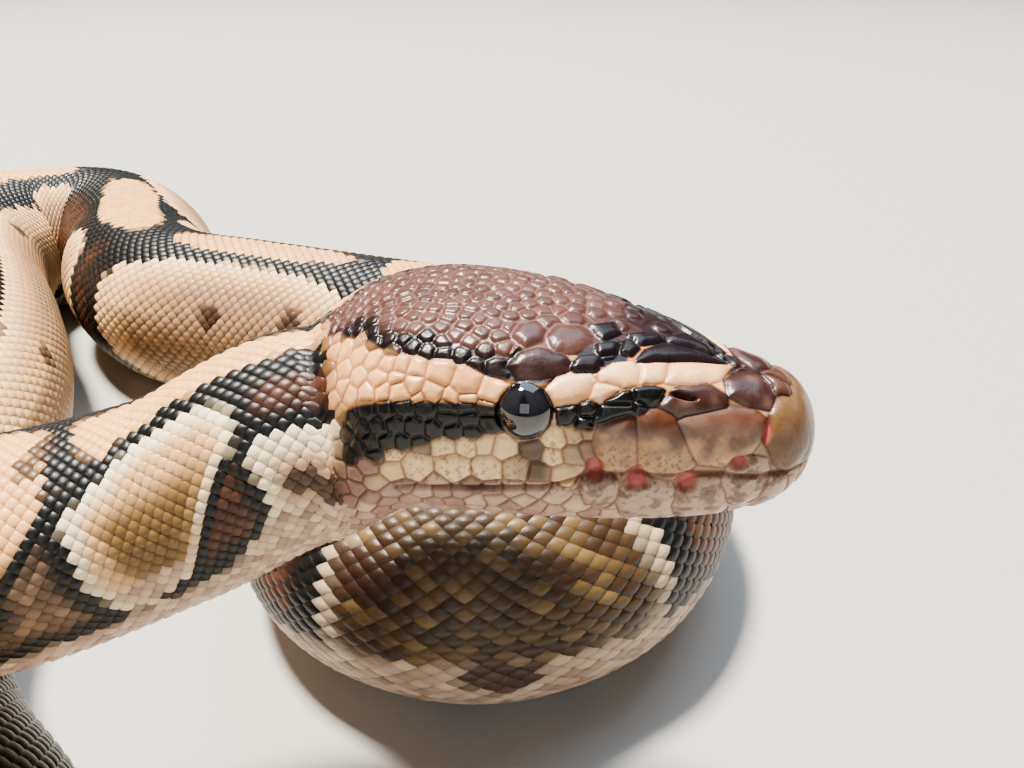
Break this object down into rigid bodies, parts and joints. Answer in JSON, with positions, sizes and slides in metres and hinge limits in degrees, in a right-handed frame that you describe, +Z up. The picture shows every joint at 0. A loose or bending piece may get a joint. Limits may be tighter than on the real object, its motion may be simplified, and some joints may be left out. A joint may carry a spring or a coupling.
{
  "type": "coiled ball python model",
  "caption": "Life-size still model of a coiled ball python, head raised over its coils, in dark brown with tan blotches.",
  "frame": {"origin": "middle of the coil's box, on the floor it lies on", "axes": "+Z up from the floor; the snout points to +X and a little to -Y; the coils run back to +Y"},
  "size_m": [0.2169, 0.2883, 0.0728],
  "materials": {
    "head_scales": "satin scales",
    "lip_scales": "satin scales",
    "body_scales": "satin scales with dark bands and tan blotches",
    "eye": "wet gloss"
  },
  "bodies": {
    "root": {"head": "head_scales", "jaw": "lip_scales", "eye_right": "eye", "eye_left": "eye", "neck": "body_scales", "trunk_1": "body_scales", "trunk_2": "body_scales", "trunk_3": "body_scales", "trunk_4": "body_scales", "trunk_5": "body_scales", "trunk_6": "body_scales", "trunk_7": "body_scales", "tail": "body_scales"}
  },
  "joints": []
}
